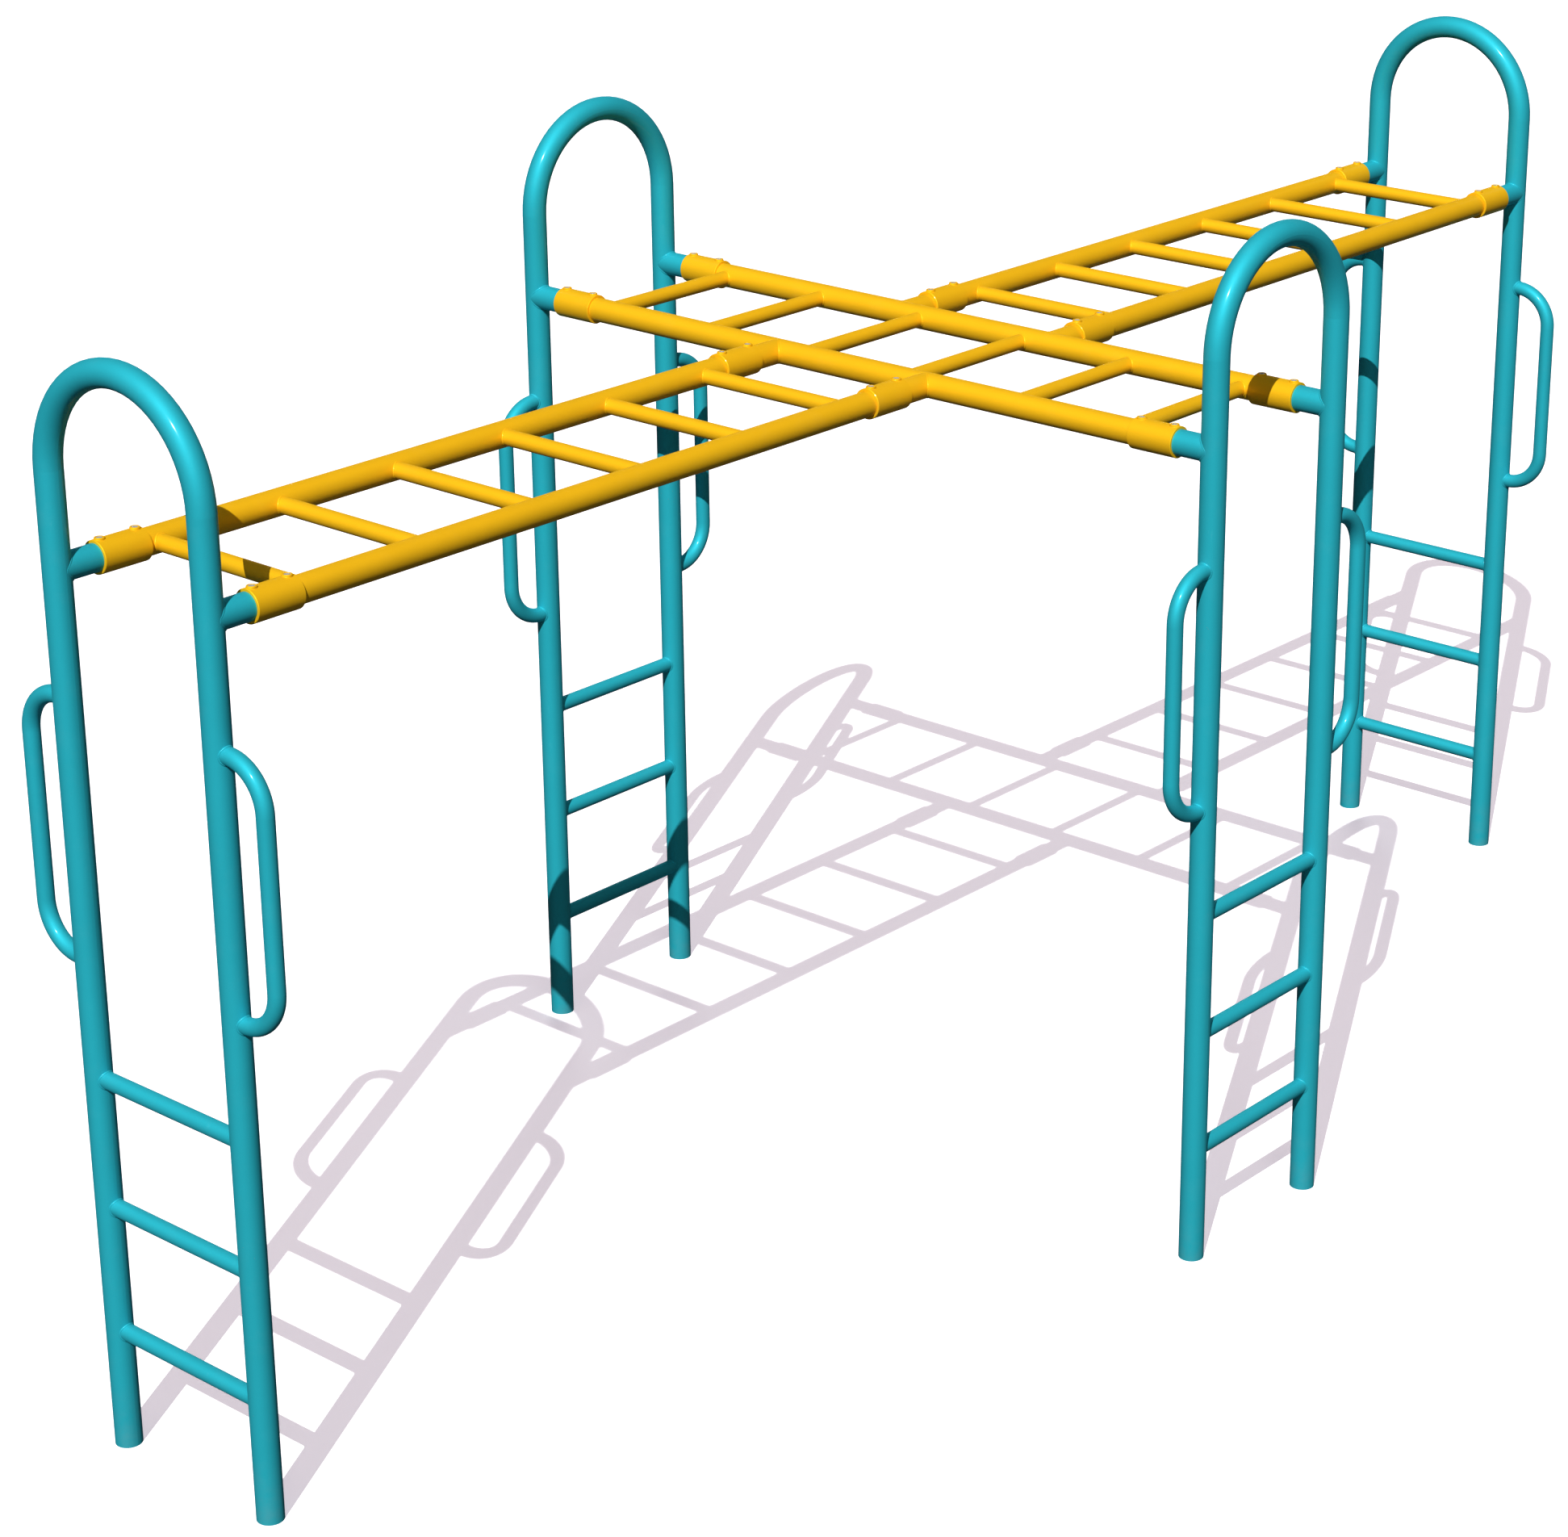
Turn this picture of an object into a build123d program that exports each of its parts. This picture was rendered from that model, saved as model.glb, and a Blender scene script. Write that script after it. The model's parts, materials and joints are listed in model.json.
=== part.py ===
from build123d import *

import os

# Cross-shaped monkey bars in welded steel pipe. Sizes are in millimetres.
# The origin is on the ground under the middle of the crossing. +Z is up, the two long ladders run
# along Y and the short through ladder runs along X. Four arched end frames stand at the four ends.

# ---- pipe and grip tube ----
pipe_od = 60.3
pipe_wall = 2.9
grip_od = 38.0
grip_wall = 2.6

# ---- overall layout ----
post_spacing = 465.0          # between the two posts of a frame, and between the rails of a ladder
rail_height = 2000.0          # centre of the rails, stubs and ladder rungs above the ground
bend_height = 2210.0          # where the posts end and the half-round top begins
climb_heights = {"low": 280.0, "middle": 580.0, "high": 880.0}
rung_pitch = 325.0
rungs_per_ladder = 6
end_gap = 243.0               # from the plane of an end frame to the nearest ladder rung
crossing_gap = 278.5          # from a through rail to the first rung of a long ladder

# ---- grab handles ----
handle_reach = 130.0          # from the post's axis to the axis of the grip
handle_bend = 100.0           # centreline radius of the two bends
handle_low = 1150.0           # centre of the lower leg
handle_high = 1726.0          # centre of the upper leg

# ---- couplers ----
coupler_od = 73.0
coupler_length = 120.0
coupler_start = 94.0          # from the axis of the post or through rail to the coupler's near end
coupler_clearance = 0.3       # radial gap round the pipes
coupler_chamfer = 1.2
butt_gap = 2.0                # between the two pipe ends inside a coupler
boss_od = 23.0
boss_top = 40.0               # height of a boss above the coupler's axis
boss_chamfer = 1.2

# ---- set screws, two to a coupler ----
screw_pitch = 90.0
screw_od = 14.0
screw_clearance = 0.1         # radial gap in the tapped hole
screw_mouth = 0.6             # chamfer round the mouth of the tapped hole
screw_sink = 0.4              # depth of a screw's top below the boss
screw_chamfer = 0.6
socket_width = 6.0            # across the flats of the hexagon
socket_depth = 4.5

# ---- plugs in the open feet of the posts ----
plug_clearance = 0.2
plug_height = 25.0
plug_floor = 4.0
plug_skin = 3.0

# ---- worked out from the sizes above ----
pipe_radius = pipe_od / 2
pipe_bore = pipe_radius - pipe_wall
grip_radius = grip_od / 2
grip_bore = grip_radius - grip_wall
half_spacing = post_spacing / 2
coupler_middle = coupler_start + coupler_length / 2
pipe_stop = coupler_middle - butt_gap / 2       # where the near pipe ends inside a coupler
pipe_resume = coupler_middle + butt_gap / 2     # where the far pipe begins
first_arm_rung = half_spacing + crossing_gap
last_arm_rung = first_arm_rung + rung_pitch * (rungs_per_ladder - 1)
last_through_rung = rung_pitch * (rungs_per_ladder - 1) / 2
long_reach = last_arm_rung + end_gap
short_reach = last_through_rung + end_gap
screw_length = boss_top - screw_sink - pipe_radius

# A pipe welded to a pipe of its own size starts just off the other's axis, so that the two lips of
# its coped end have a little thickness.
lip_offset = 4.0

UP = Vector(0, 0, 1)
compass = {
    "south": Vector(0, -1, 0),
    "north": Vector(0, 1, 0),
    "west": Vector(-1, 0, 0),
    "east": Vector(1, 0, 0),
}
reach_of = {"south": long_reach, "north": long_reach, "west": short_reach, "east": short_reach}

os.makedirs("parts", exist_ok=True)


def save(part, name):
    part.label = name
    export_step(part, f"parts/{name}.step")


def sides_across(direction):
    """The names of the two sides of a frame or ladder that points along a compass direction."""
    return ("west", "east") if direction in ("south", "north") else ("south", "north")


def make_tubes(runs, outer, bore, welded_to=()):
    """Straight tubes, one to a run, with their ends coped to the pipes that they are welded to.
    A run is the start and the end of an axis."""
    with BuildPart() as tubes:
        for start, end in runs:
            with BuildSketch(Plane(origin=start, z_dir=end - start)):
                Circle(outer)
                Circle(bore, mode=Mode.SUBTRACT)
            extrude(amount=(end - start).length)
        for start, end in welded_to:
            with BuildSketch(Plane(origin=start, z_dir=end - start)):
                Circle(pipe_radius)
            extrude(amount=(end - start).length, mode=Mode.SUBTRACT)
    return tubes.part


def make_arch_tube(middle, across):
    """Two posts and the half-round top between them, bent from one pipe."""
    with BuildPart() as arch_tube:
        with BuildLine(Plane(origin=middle, x_dir=across, z_dir=across.cross(UP))) as centreline:
            Line((-half_spacing, 0), (-half_spacing, bend_height))
            ThreePointArc(
                (-half_spacing, bend_height),
                (0, bend_height + half_spacing),
                (half_spacing, bend_height),
            )
            Line((half_spacing, bend_height), (half_spacing, 0))
        with BuildSketch(Plane(origin=middle - across * half_spacing, z_dir=UP)):
            Circle(pipe_radius)
            Circle(pipe_bore, mode=Mode.SUBTRACT)
        sweep(path=centreline.wires()[0])
    return arch_tube.part


def make_handle(foot, outward):
    """A C-shaped grab handle, bent from grip tube and coped onto the outer side of a post."""
    with BuildPart() as handle:
        with BuildLine(Plane(origin=foot, x_dir=outward, z_dir=outward.cross(UP))) as centreline:
            FilletPolyline(
                (0, handle_low),
                (handle_reach, handle_low),
                (handle_reach, handle_high),
                (0, handle_high),
                radius=handle_bend,
            )
        with BuildSketch(Plane(origin=foot + UP * handle_low, z_dir=outward)):
            Circle(grip_radius)
            Circle(grip_bore, mode=Mode.SUBTRACT)
        sweep(path=centreline.wires()[0])
        with BuildSketch(Plane(origin=foot, z_dir=UP)):
            Circle(pipe_radius)
        extrude(amount=bend_height, mode=Mode.SUBTRACT)
    return handle.part


def make_coupler(joint, along):
    """A sleeve over two pipe ends, with two tapped bosses on top. joint is on the axis of the post
    or through rail behind the near pipe, and along points from there to the far pipe."""
    near_end = Plane(origin=joint + along * coupler_start, z_dir=along)
    axis_level = Plane(origin=joint + along * coupler_middle, x_dir=along, z_dir=UP)
    with BuildPart() as coupler:
        with BuildSketch(near_end):
            Circle(coupler_od / 2)
        extrude(amount=coupler_length)
        chamfer(coupler.edges().filter_by(GeomType.CIRCLE), length=coupler_chamfer)
        with BuildSketch(axis_level):
            with GridLocations(screw_pitch, 0, 2, 1):
                Circle(boss_od / 2)
        extrude(amount=boss_top)
        chamfer(coupler.edges().group_by(Axis.Z)[-1], length=boss_chamfer)
        with BuildSketch(near_end):
            Circle(pipe_radius + coupler_clearance)
        extrude(amount=coupler_length, mode=Mode.SUBTRACT)
        with BuildSketch(axis_level):
            with GridLocations(screw_pitch, 0, 2, 1):
                Circle(screw_od / 2 + screw_clearance)
        extrude(amount=boss_top, mode=Mode.SUBTRACT)
        boss_rims = coupler.edges().group_by(Axis.Z)[-1]
        chamfer(boss_rims.group_by(SortBy.RADIUS)[0], length=screw_mouth)
    return coupler.part


feet = []                     # the foot of every post
joints = []                   # every coupler's joint and the direction along its pipes

# ---- the four end frames ----
for frame, reach in reach_of.items():
    outward = compass[frame]
    middle = outward * reach
    save(make_arch_tube(middle, UP.cross(outward)), f"{frame}_arch_tube")

    foot_of = {side: middle + compass[side] * half_spacing for side in sides_across(frame)}
    posts = [(foot, foot + UP * bend_height) for foot in foot_of.values()]
    for level, height in climb_heights.items():
        run = [foot + UP * height for foot in foot_of.values()]
        rung = make_tubes([run], grip_radius, grip_bore, welded_to=posts)
        save(rung, f"{frame}_climbing_rung_{level}")

    for side, foot in foot_of.items():
        feet.append(foot)
        save(make_handle(foot, compass[side]), f"{frame}_handle_{side}")
        joint = foot + UP * rail_height
        joints.append((joint, -outward))
        run = (joint - outward * lip_offset, joint - outward * pipe_stop)
        stub = make_tubes([run], pipe_radius, pipe_bore, welded_to=posts)
        save(stub, f"{frame}_stub_{side}")
        save(make_coupler(joint, -outward), f"{frame}_coupler_{side}")

# ---- the through ladder: two rails in one length from the west frame to the east frame ----
half_rail = short_reach - pipe_resume
through_rails = []
for side in ("south", "north"):
    centre = compass[side] * half_spacing + UP * rail_height
    run = (centre + compass["west"] * half_rail, centre + compass["east"] * half_rail)
    through_rails.append(run)
    save(make_tubes([run], pipe_radius, pipe_bore), f"through_rail_{side}")

rung_runs = []
for index in range(rungs_per_ladder):
    x = last_through_rung - rung_pitch * index
    rung_runs.append((Vector(x, -half_spacing, rail_height), Vector(x, half_spacing, rail_height)))
through_rungs = make_tubes(rung_runs, grip_radius, grip_bore, welded_to=through_rails)
save(through_rungs, "through_ladder_rungs")

# ---- the two long ladders, each hung between stubs on the through rails and an end frame ----
for arm in ("south", "north"):
    along = compass[arm]
    arm_rails = []
    for side in ("west", "east"):
        line = compass[side] * half_spacing + UP * rail_height
        joint = line + along * half_spacing
        joints.append((joint, along))
        run = (joint + along * lip_offset, joint + along * pipe_stop)
        stub = make_tubes([run], pipe_radius, pipe_bore, welded_to=through_rails)
        save(stub, f"centre_stub_{arm}{side}")
        save(make_coupler(joint, along), f"centre_coupler_{arm}{side}")
        run = (joint + along * pipe_resume, line + along * (long_reach - pipe_resume))
        arm_rails.append(run)
        save(make_tubes([run], pipe_radius, pipe_bore), f"{arm}_rail_{side}")

    rung_runs = []
    for index in range(rungs_per_ladder):
        level = along * (first_arm_rung + rung_pitch * index) + UP * rail_height
        rung_runs.append([level + compass[side] * half_spacing for side in ("west", "east")])
    arm_rungs = make_tubes(rung_runs, grip_radius, grip_bore, welded_to=arm_rails)
    save(arm_rungs, f"{arm}_ladder_rungs")

# ---- the socket set screws, screwed down through the bosses until they bear on the pipes ----
screw_places = []
for joint, along in joints:
    for step in (-screw_pitch / 2, screw_pitch / 2):
        place = joint + along * (coupler_middle + step)
        screw_places.append((place.X, place.Y))

with BuildPart() as set_screws:
    with BuildSketch(Plane.XY.offset(rail_height + pipe_radius)):
        with Locations(*screw_places):
            Circle(screw_od / 2)
    extrude(amount=screw_length)
    chamfer(set_screws.edges().filter_by(GeomType.CIRCLE), length=screw_chamfer)
    with BuildSketch(Plane.XY.offset(rail_height + pipe_radius + screw_length)):
        with Locations(*screw_places):
            RegularPolygon(radius=socket_width / 2, side_count=6, major_radius=False)
    extrude(amount=-socket_depth, mode=Mode.SUBTRACT)
save(set_screws.part, "set_screws")

# ---- moulded plugs pressed into the open feet, flush with the pipe ends ----
plug_radius = pipe_bore - plug_clearance
with BuildPart() as foot_plugs:
    with BuildSketch(Plane.XY):
        with Locations(*[(foot.X, foot.Y) for foot in feet]):
            Circle(plug_radius)
    extrude(amount=plug_height)
    with BuildSketch(Plane.XY.offset(plug_height)):
        with Locations(*[(foot.X, foot.Y) for foot in feet]):
            Circle(plug_radius - plug_skin)
    extrude(amount=plug_floor - plug_height, mode=Mode.SUBTRACT)
save(foot_plugs.part, "foot_plugs")
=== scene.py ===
import json
import math

import bpy
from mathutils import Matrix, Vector


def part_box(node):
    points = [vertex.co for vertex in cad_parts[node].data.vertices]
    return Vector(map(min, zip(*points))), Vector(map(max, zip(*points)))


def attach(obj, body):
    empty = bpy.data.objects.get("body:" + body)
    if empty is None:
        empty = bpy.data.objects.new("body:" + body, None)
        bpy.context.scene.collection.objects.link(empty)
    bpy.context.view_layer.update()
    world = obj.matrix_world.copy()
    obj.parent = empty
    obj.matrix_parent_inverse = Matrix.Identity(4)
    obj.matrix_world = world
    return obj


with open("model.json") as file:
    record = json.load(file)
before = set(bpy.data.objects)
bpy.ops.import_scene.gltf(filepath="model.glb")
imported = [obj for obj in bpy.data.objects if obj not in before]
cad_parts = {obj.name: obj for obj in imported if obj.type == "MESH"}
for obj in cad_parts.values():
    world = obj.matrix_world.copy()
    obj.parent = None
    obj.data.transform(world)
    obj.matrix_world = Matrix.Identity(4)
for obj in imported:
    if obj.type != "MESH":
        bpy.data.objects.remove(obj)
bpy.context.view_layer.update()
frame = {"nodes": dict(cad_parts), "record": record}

# ---- sizes in metres, in the CAD model's frame -------------------------------------------------

PIPE_R = 0.03015          # outer radius of the posts, rails and stubs
GRIP_R = 0.019            # of the rungs and handles
COUPLER_R = 0.0365        # of the couplers
BOSS_R = 0.0115           # of the bosses on a coupler
BOSS_OFFSET = 0.045       # from the middle of a coupler to the axis of either boss
LIP = 0.004               # from the axis of the pipe that a stub is welded to, to the stub's lips
RUNGS_PER_LADDER = 6

BEAD_R = 0.0021           # radius of a weld bead
BEAD_RIPPLE = 0.0026      # length of one ripple along it
FILLET_R = 0.0007         # radius of the cast fillet round the foot of a boss

# The shape of a bead, in parts of its radius.
BEAD_LIFT = 0.25          # how far its middle stands out of a square corner
BEAD_SINK = 0.25          # how far its middle sinks where the corner runs out
BEAD_RUN_OUT = 0.45       # its size where the corner runs out
BEAD_HEIGHT = 0.9         # its section is a little lower and wider than a circle
BEAD_WIDTH = 1.15
RIPPLE_VALLEY = 0.88      # its size between two ripples
RIPPLE_RISE = 0.20        # what the top of a ripple adds to that

CORNER_STEPS = 160        # points along a corner line
SECTION_STEPS = 8         # points round a bead

UP = Vector((0, 0, 1))
COMPASS = {
    "south": Vector((0, -1, 0)),
    "north": Vector((0, 1, 0)),
    "west": Vector((-1, 0, 0)),
    "east": Vector((1, 0, 0)),
}


def sides_across(direction):
    """The names of the two sides of a frame or ladder that points along a compass direction."""
    return ("west", "east") if direction in ("south", "north") else ("south", "north")


def centre_of(node):
    low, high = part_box(node)
    return (low + high) / 2


# ---- materials ---------------------------------------------------------------------------------

# How much each unevenness or sign of age shows in the paint, from 0 to 1.
UNEVEN_TONE = 0.55
CHALKING = 0.08
SCUFFING = 0.14
DUSTING = 0.13
CHIPPING = 0.55

DUST_TOP = 0.16           # height above the ground where the dust ends
DUST_COLOUR = (0.33, 0.29, 0.24, 1.0)
CHIP_COLOUR = (0.20, 0.19, 0.18, 1.0)

PAINT_ROUGHNESS = (0.61, 0.68)
SCUFF_ROUGHNESS = 0.10    # what a scuff adds to that
PAINT_METALLIC = 0.35
CLEAR_COAT = 0.14
CLEAR_COAT_ROUGHNESS = 0.15


class Graph:
    """A material's node tree, with short calls for the nodes that the finishes are made of."""

    def __init__(self, name):
        self.material = bpy.data.materials.new(name)
        self.material.use_nodes = True
        self.tree = self.material.node_tree
        self.tree.nodes.clear()
        self.output = self.tree.nodes.new("ShaderNodeOutputMaterial")
        self.shader = self.tree.nodes.new("ShaderNodeBsdfPrincipled")
        self.link(self.shader.outputs["BSDF"], self.output.inputs["Surface"])
        self.place = self.tree.nodes.new("ShaderNodeTexCoord").outputs["Object"]

    def link(self, source, target):
        self.tree.links.new(source, target)

    def feed(self, target, value):
        """Sets an input to a number or colour, or links it to a socket."""
        if isinstance(value, bpy.types.NodeSocket):
            self.link(value, target)
        else:
            target.default_value = value

    def noise(self, scale, detail, roughness=0.5, place=None):
        node = self.tree.nodes.new("ShaderNodeTexNoise")
        node.inputs["Scale"].default_value = scale
        node.inputs["Detail"].default_value = detail
        node.inputs["Roughness"].default_value = roughness
        self.link(place or self.place, node.inputs["Vector"])
        return node.outputs["Fac"]

    def cells(self, scale):
        """Distance to the nearest of many scattered points."""
        node = self.tree.nodes.new("ShaderNodeTexVoronoi")
        node.inputs["Scale"].default_value = scale
        self.link(self.place, node.inputs["Vector"])
        return node.outputs["Distance"]

    def stretched(self, scales):
        """The place on the surface, with each axis scaled, so that a noise there runs long or short."""
        node = self.tree.nodes.new("ShaderNodeMapping")
        node.inputs["Scale"].default_value = scales
        self.link(self.place, node.inputs["Vector"])
        return node.outputs["Vector"]

    def height(self):
        """Height above the ground, in metres."""
        node = self.tree.nodes.new("ShaderNodeSeparateXYZ")
        self.link(self.place, node.inputs[0])
        return node.outputs["Z"]

    def remap(self, value, low, high, to_low=0.0, to_high=1.0):
        """Turns the range low to high into to_low to to_high, and stops at its ends."""
        node = self.tree.nodes.new("ShaderNodeMapRange")
        node.clamp = True
        self.link(value, node.inputs["Value"])
        node.inputs["From Min"].default_value = low
        node.inputs["From Max"].default_value = high
        node.inputs["To Min"].default_value = to_low
        node.inputs["To Max"].default_value = to_high
        return node.outputs["Result"]

    def calculate(self, operation, first, second, clamp=False):
        node = self.tree.nodes.new("ShaderNodeMath")
        node.operation = operation
        node.use_clamp = clamp
        self.feed(node.inputs[0], first)
        self.feed(node.inputs[1], second)
        return node.outputs[0]

    def times(self, first, second):
        return self.calculate("MULTIPLY", first, second)

    def plus(self, first, second):
        return self.calculate("ADD", first, second, clamp=True)

    def mix(self, amount, first, second):
        """Blends two colours."""
        node = self.tree.nodes.new("ShaderNodeMix")
        node.data_type = "RGBA"
        self.feed(node.inputs["Factor"], amount)
        self.feed(node.inputs["A"], first)
        self.feed(node.inputs["B"], second)
        return node.outputs["Result"]

    def bump(self, height, strength, distance, under=None):
        """A normal that follows the height, on top of another normal if one is given."""
        node = self.tree.nodes.new("ShaderNodeBump")
        node.inputs["Strength"].default_value = strength
        node.inputs["Distance"].default_value = distance
        self.link(height, node.inputs["Height"])
        if under is not None:
            self.link(under, node.inputs["Normal"])
        return node.outputs["Normal"]


def powder_coat(name, colour, shade, chalk, sheen):
    """Gloss powder coat outdoors: a little uneven in tone, with orange peel, faint scuffs, a few small
    chips and some dust near the ground. sheen is the tint of its broad highlights."""
    graph = Graph(name)
    shader = graph.shader

    tone = graph.remap(graph.noise(scale=2.3, detail=3.0), 0.35, 0.68)
    paint = graph.mix(graph.times(tone, UNEVEN_TONE), colour, shade)

    bloom = graph.remap(graph.noise(scale=13.0, detail=6.0, roughness=0.65), 0.54, 0.74)
    paint = graph.mix(graph.times(bloom, CHALKING), paint, chalk)

    upright = graph.stretched((1.0, 1.0, 0.25))
    scratches = graph.remap(graph.noise(scale=60.0, detail=5.0, roughness=0.7, place=upright), 0.62, 0.72)
    patches = graph.remap(graph.noise(scale=5.0, detail=2.0), 0.50, 0.62)
    scuffs = graph.times(scratches, patches)
    paint = graph.mix(graph.times(scuffs, SCUFFING), paint, chalk)

    near_ground = graph.remap(graph.height(), DUST_TOP, 0.0)
    settled = graph.remap(graph.noise(scale=22.0, detail=5.0), 0.38, 0.70)
    dust = graph.times(near_ground, settled)
    paint = graph.mix(graph.times(dust, DUSTING), paint, DUST_COLOUR)

    spots = graph.remap(graph.cells(85.0), 0.085, 0.06)
    few = graph.remap(graph.noise(scale=7.0, detail=2.0), 0.66, 0.70)
    chips = graph.times(spots, few)
    paint = graph.mix(graph.times(chips, CHIPPING), paint, CHIP_COLOUR)
    graph.link(paint, shader.inputs["Base Color"])

    mottle = graph.noise(scale=9.0, detail=4.0, roughness=0.6)
    roughness = graph.remap(mottle, 0.30, 0.72, *PAINT_ROUGHNESS)
    roughness = graph.plus(roughness, graph.times(scuffs, SCUFF_ROUGHNESS))
    graph.link(roughness, shader.inputs["Roughness"])
    shader.inputs["Specular IOR Level"].default_value = 0.5
    shader.inputs["Specular Tint"].default_value = sheen
    shader.inputs["IOR"].default_value = 1.5
    shader.inputs["Metallic"].default_value = PAINT_METALLIC
    shader.inputs["Coat Weight"].default_value = CLEAR_COAT
    shader.inputs["Coat Roughness"].default_value = CLEAR_COAT_ROUGHNESS

    peel = graph.bump(graph.noise(scale=330.0, detail=2.0), strength=0.16, distance=0.0006)
    flow = graph.bump(graph.noise(scale=38.0, detail=2.0), strength=0.10, distance=0.0012, under=peel)
    pits = graph.bump(chips, strength=0.35, distance=0.0003, under=flow)
    graph.link(pits, shader.inputs["Normal"])
    return graph.material


def screw_steel():
    """Zinc-plated steel, brushed by the driver and a little dulled by weather."""
    bright = (0.72, 0.72, 0.70, 1.0)
    weathered = (0.47, 0.46, 0.43, 1.0)
    graph = Graph("screw_steel_zinc")
    shader = graph.shader
    dull = graph.remap(graph.noise(scale=160.0, detail=5.0, roughness=0.6), 0.40, 0.70)
    graph.link(graph.mix(graph.times(dull, 0.55), bright, weathered), shader.inputs["Base Color"])
    roughness = graph.remap(dull, 0.0, 1.0, to_low=0.24, to_high=0.46)
    graph.link(roughness, shader.inputs["Roughness"])
    shader.inputs["Metallic"].default_value = 0.55
    lathe = graph.bump(graph.noise(scale=900.0, detail=2.0), strength=0.20, distance=0.0002)
    graph.link(lathe, shader.inputs["Normal"])
    return graph.material


def plug_plastic():
    """Black moulded polyethylene with a fine moulded texture."""
    black = (0.018, 0.018, 0.019, 1.0)
    greyed = (0.045, 0.043, 0.040, 1.0)
    graph = Graph("plug_plastic_black")
    shader = graph.shader
    tone = graph.remap(graph.noise(scale=70.0, detail=4.0), 0.35, 0.70)
    graph.link(graph.mix(tone, black, greyed), shader.inputs["Base Color"])
    mottle = graph.noise(scale=120.0, detail=3.0)
    roughness = graph.remap(mottle, 0.3, 0.7, to_low=0.48, to_high=0.66)
    graph.link(roughness, shader.inputs["Roughness"])
    grain = graph.bump(graph.noise(scale=700.0, detail=2.0), strength=0.25, distance=0.0004)
    graph.link(grain, shader.inputs["Normal"])
    return graph.material


finishes = {
    "teal_paint": powder_coat(
        "teal_powder_coat",
        colour=(0.022, 0.420, 0.520, 1.0),
        shade=(0.020, 0.390, 0.482, 1.0),
        chalk=(0.120, 0.480, 0.550, 1.0),
        sheen=(0.10, 0.90, 1.00, 1.0),
    ),
    "yellow_paint": powder_coat(
        "yellow_powder_coat",
        colour=(0.880, 0.492, 0.008, 1.0),
        shade=(0.850, 0.460, 0.007, 1.0),
        chalk=(0.900, 0.560, 0.080, 1.0),
        sheen=(1.00, 0.80, 0.25, 1.0),
    ),
    "screw_steel": screw_steel(),
    "plug_plastic": plug_plastic(),
}

slot_of = {entry["node"]: entry["material_slot"] for entry in frame["record"]["subparts"]}
for node, cad_object in frame["nodes"].items():
    for material_slot in cad_object.material_slots:
        material_slot.material = finishes[slot_of[node]]


# ---- weld beads and cast fillets ---------------------------------------------------------------

def saddle(centre, axis, pipe_axis, radius, pipe_radius, lip):
    """The corner line round the end of a tube or boss, which runs along axis from a centre on the
    pipe's axis and stops on the pipe. Along axis, the line stays at least lip from that centre.
    Returns, at even angles round the tube, each point, the way out of the corner, and how deep the
    corner is: 1 where the surfaces meet squarely, towards 0 where they run together."""
    side = pipe_axis.cross(axis)
    corner = []
    for step in range(CORNER_STEPS):
        angle = math.tau * step / CORNER_STEPS
        across = radius * math.cos(angle)
        reach = max(math.sqrt(max(pipe_radius ** 2 - across ** 2, 0.0)), lip)
        radial = side * math.cos(angle) + pipe_axis * math.sin(angle)
        point = centre + axis * reach + radial * radius
        off_pipe = (axis * reach + side * across).normalized()
        corner.append((point, (radial + off_pipe).normalized(), 1.0 - radial.dot(off_pipe) ** 2))
    return corner


def add_bead(verts, faces, corner, thickness, ripple, lift):
    """A closed bead along a corner line. Its thickness swells once for every ripple of its length,
    and it sinks towards the surface where the corner is shallow. A ripple of 0 leaves it smooth."""
    count = len(corner)
    base = len(verts)
    length = sum((corner[i][0] - corner[i - 1][0]).length for i in range(count))
    swells = round(length / ripple) if ripple else 0
    travelled = 0.0
    for i, (point, outward, depth) in enumerate(corner):
        ahead = corner[(i + 1) % count][0]
        behind = corner[i - 1][0]
        travelled += (point - behind).length if i else 0.0
        tangent = (ahead - behind).normalized()
        out = (outward - tangent * outward.dot(tangent)).normalized()
        flank = tangent.cross(out)
        swell = 1.0
        if swells:
            phase = (travelled / length * swells) % 1.0
            swell = RIPPLE_VALLEY + RIPPLE_RISE * math.sqrt(max(1.0 - (2.0 * phase - 1.0) ** 2, 0.0))
        size = thickness * swell * (BEAD_RUN_OUT + (1.0 - BEAD_RUN_OUT) * depth)
        middle = point + out * thickness * (lift * depth - BEAD_SINK * (1.0 - depth))
        for step in range(SECTION_STEPS):
            angle = math.tau * step / SECTION_STEPS
            spread = out * math.cos(angle) * BEAD_HEIGHT + flank * math.sin(angle) * BEAD_WIDTH
            verts.append(middle + spread * size)
    for i in range(count):
        here = base + i * SECTION_STEPS
        there = base + (i + 1) % count * SECTION_STEPS
        for step in range(SECTION_STEPS):
            beside = (step + 1) % SECTION_STEPS
            faces.append((here + step, here + beside, there + beside, there + step))


def bead_piece(name, corners, slot, thickness=BEAD_R, ripple=BEAD_RIPPLE, lift=BEAD_LIFT):
    """One piece that holds the beads along several corner lines."""
    verts = []
    faces = []
    for corner in corners:
        add_bead(verts, faces, corner, thickness, ripple, lift)
    mesh = bpy.data.meshes.new(name)
    mesh.from_pydata([tuple(v) for v in verts], [], faces)
    mesh.update()
    mesh.materials.append(finishes[slot])
    for polygon in mesh.polygons:
        polygon.use_smooth = True
    piece = bpy.data.objects.new(name, mesh)
    bpy.context.scene.collection.objects.link(piece)
    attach(piece, "root")


def both_ends(start, end, pipe_axis):
    """The two corner lines of a grip tube that is welded between two pipes."""
    run = (end - start).normalized()
    return [
        saddle(start, run, pipe_axis, GRIP_R, PIPE_R, 0.0),
        saddle(end, -run, pipe_axis, GRIP_R, PIPE_R, 0.0),
    ]


rail_height = centre_of("through_rail_south").z
half_spacing = -centre_of("through_rail_south").y
couplers = []             # each coupler's node and the direction of its pipes

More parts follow.
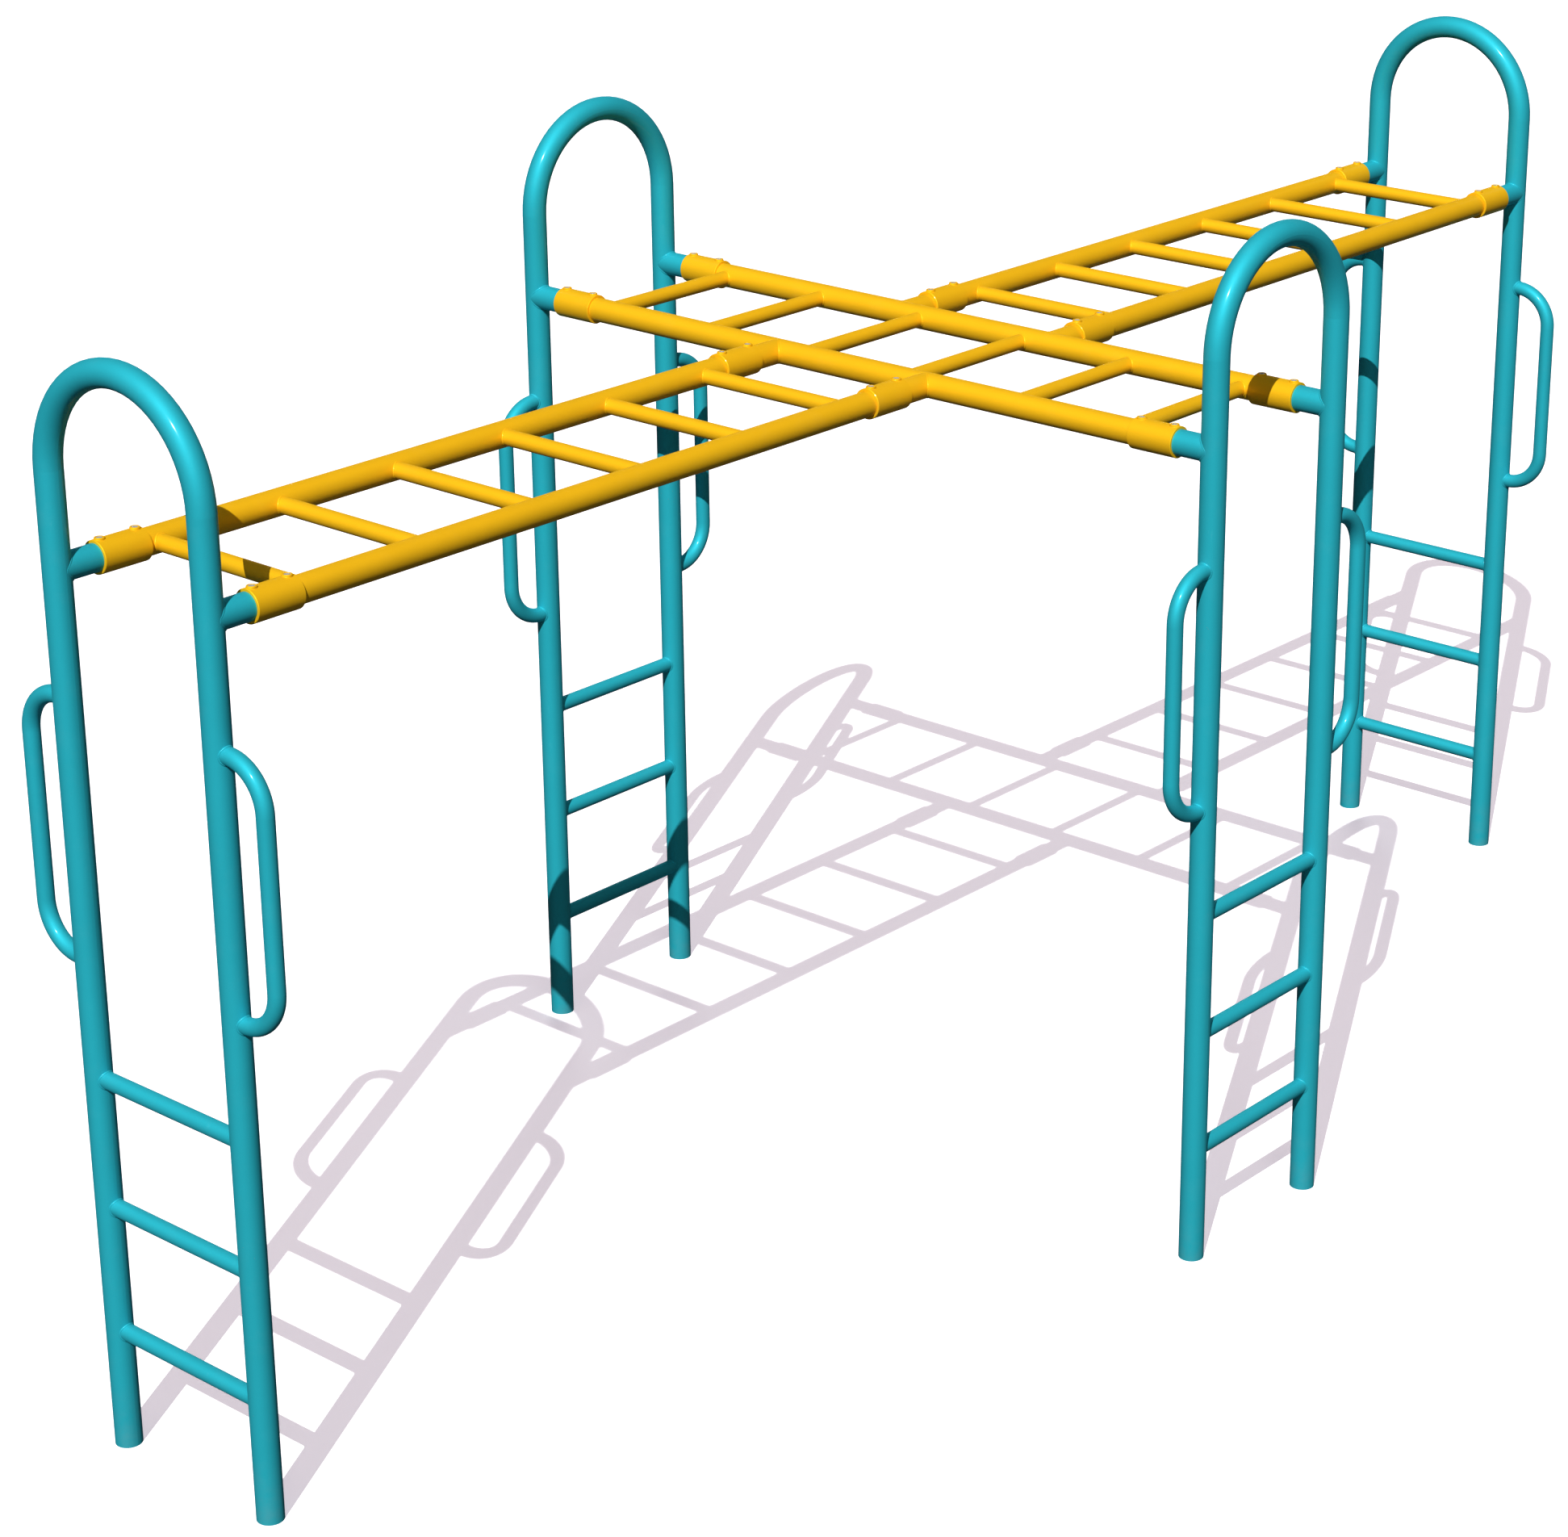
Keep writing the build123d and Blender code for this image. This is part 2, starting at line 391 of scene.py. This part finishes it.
for direction, outward in COMPASS.items():
    plane_point = centre_of(f"{direction}_arch_tube")
    plane_point.z = 0.0
    post_of = {side: plane_point + COMPASS[side] * half_spacing for side in sides_across(direction)}
    first, second = post_of.values()
    for level in ("low", "middle", "high"):
        node = f"{direction}_climbing_rung_{level}"
        lift = UP * centre_of(node).z
        bead_piece(f"weld_{node}", both_ends(first + lift, second + lift, UP), "teal_paint")
    for side, post in post_of.items():
        node = f"{direction}_handle_{side}"
        low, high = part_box(node)
        legs = (low.z + GRIP_R, high.z - GRIP_R)
        corners = [saddle(post + UP * leg, COMPASS[side], UP, GRIP_R, PIPE_R, 0.0) for leg in legs]
        bead_piece(f"weld_{node}", corners, "teal_paint")
        joint = post + UP * rail_height
        corner = saddle(joint, -outward, UP, PIPE_R, PIPE_R, LIP)
        bead_piece(f"weld_{direction}_stub_{side}", [corner], "teal_paint")
        couplers.append((f"{direction}_coupler_{side}", -outward))

for ladder, along, across in (
    ("through_ladder_rungs", COMPASS["east"], COMPASS["north"]),
    ("south_ladder_rungs", COMPASS["north"], COMPASS["east"]),
    ("north_ladder_rungs", COMPASS["north"], COMPASS["east"]),
):
    low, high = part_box(ladder)
    first = low.dot(along) + GRIP_R
    last = high.dot(along) - GRIP_R
    reach = across * half_spacing
    corners = []
    for index in range(RUNGS_PER_LADDER):
        place = first + (last - first) * index / (RUNGS_PER_LADDER - 1)
        middle = along * place + UP * rail_height
        corners += both_ends(middle - reach, middle + reach, along)
    bead_piece(f"weld_{ladder}", corners, "yellow_paint")

for direction in ("south", "north"):
    for side in ("west", "east"):
        along = COMPASS[direction]
        joint = (along + COMPASS[side]) * half_spacing + UP * rail_height
        corner = saddle(joint, along, COMPASS["east"], PIPE_R, PIPE_R, LIP)
        bead_piece(f"weld_centre_stub_{direction}{side}", [corner], "yellow_paint")
        couplers.append((f"centre_coupler_{direction}{side}", along))

for coupler, along in couplers:
    middle = centre_of(coupler)
    middle.z = rail_height
    corners = []
    for offset in (-BOSS_OFFSET, BOSS_OFFSET):
        corners.append(saddle(middle + along * offset, UP, along, BOSS_R, COUPLER_R, 0.0))
    bead_piece(f"fillet_{coupler}", corners, "yellow_paint", FILLET_R, ripple=0.0, lift=0.0)


# ---- floor, light and camera -------------------------------------------------------------------

FLOOR_HALF = 60.0
FLOOR_COLOUR = (0.80, 0.80, 0.80, 1.0)
FLOOR_GLOW = (0.462, 0.390, 0.448, 1.0)     # the tone of the shadows on it

WORLD_ON_SURFACES = 0.03
WORLD_IN_REFLECTIONS = 0.07
WORLD_SEEN = 1.2

WHITE = (1.0, 1.0, 1.0)
SUNS = (
    # name, the way its light travels, strength, width of the source in degrees, colour, seen in gloss
    ("key", (-0.482, 0.914, -1.0), 4.6, 0.2, (1.0, 0.99, 0.97), True),
    ("fill", (-0.742, 0.520, -0.423), 0.38, 25.0, WHITE, False),
    ("top", (-0.129, 0.224, -0.966), 0.34, 30.0, WHITE, False),
    ("back", (0.640, -0.760, -0.150), 2.8, 26.0, WHITE, False),
)

CAMERA_PLACE = (5.5611, -6.6318, 4.3550)
CAMERA_TILT = 70.02       # degrees up from looking straight down
CAMERA_TURN = 40.0        # degrees round from looking along +Y
SENSOR_WIDTH = 36.0       # millimetres, as is the lens
LENS = 84.96
SHIFT_X = -0.0823
SHIFT_Y = -0.0719
VIEW_DEPTH = 300.0        # metres, past the far side of the floor


def stage_floor():
    """A wide pale floor. It glows a little, so that the shadows on it stay pale, and it throws no
    light back on the object."""
    corners = [
        (-FLOOR_HALF, -FLOOR_HALF, 0),
        (FLOOR_HALF, -FLOOR_HALF, 0),
        (FLOOR_HALF, FLOOR_HALF, 0),
        (-FLOOR_HALF, FLOOR_HALF, 0),
    ]
    mesh = bpy.data.meshes.new("floor")
    mesh.from_pydata(corners, [], [(0, 1, 2, 3)])
    floor = bpy.data.objects.new("floor", mesh)
    bpy.context.scene.collection.objects.link(floor)
    graph = Graph("floor_pale")
    shader = graph.shader
    shader.inputs["Base Color"].default_value = FLOOR_COLOUR
    shader.inputs["Roughness"].default_value = 0.9
    shader.inputs["Specular IOR Level"].default_value = 0.0
    shader.inputs["Emission Color"].default_value = FLOOR_GLOW
    shader.inputs["Emission Strength"].default_value = 1.0
    mesh.materials.append(graph.material)
    floor.visible_diffuse = False
    floor.visible_glossy = False


def studio_world():
    """Dim even light, a little brighter in reflections, and plain white where the camera sees it."""
    world = bpy.data.worlds.new("studio")
    world.use_nodes = True
    tree = world.node_tree
    tree.nodes.clear()

    def plain_light(strength):
        background = tree.nodes.new("ShaderNodeBackground")
        background.inputs["Color"].default_value = (*WHITE, 1.0)
        background.inputs["Strength"].default_value = strength
        return background.outputs[0]

    path = tree.nodes.new("ShaderNodeLightPath")
    light = plain_light(WORLD_ON_SURFACES)
    for ray, strength in (("Is Glossy Ray", WORLD_IN_REFLECTIONS), ("Is Camera Ray", WORLD_SEEN)):
        choose = tree.nodes.new("ShaderNodeMixShader")
        tree.links.new(path.outputs[ray], choose.inputs["Fac"])
        tree.links.new(light, choose.inputs[1])
        tree.links.new(plain_light(strength), choose.inputs[2])
        light = choose.outputs[0]
    output = tree.nodes.new("ShaderNodeOutputWorld")
    tree.links.new(light, output.inputs["Surface"])
    bpy.context.scene.world = world


def add_sun(name, travel, strength, width, colour, in_gloss):
    lamp = bpy.data.lights.new(name, "SUN")
    lamp.energy = strength
    lamp.angle = math.radians(width)
    lamp.color = colour
    sun = bpy.data.objects.new(name, lamp)
    sun.rotation_euler = Vector(travel).to_track_quat("-Z", "Y").to_euler()
    sun.visible_glossy = in_gloss
    bpy.context.scene.collection.objects.link(sun)


def add_camera():
    lens = bpy.data.cameras.new("camera")
    lens.sensor_fit = "HORIZONTAL"
    lens.sensor_width = SENSOR_WIDTH
    lens.lens = LENS
    lens.shift_x = SHIFT_X
    lens.shift_y = SHIFT_Y
    lens.clip_end = VIEW_DEPTH
    camera = bpy.data.objects.new("camera", lens)
    camera.location = CAMERA_PLACE
    camera.rotation_euler = (math.radians(CAMERA_TILT), 0.0, math.radians(CAMERA_TURN))
    bpy.context.scene.collection.objects.link(camera)
    bpy.context.scene.camera = camera


stage_floor()
studio_world()
for sun in SUNS:
    add_sun(*sun)
add_camera()
bpy.context.scene.view_settings.view_transform = "Standard"
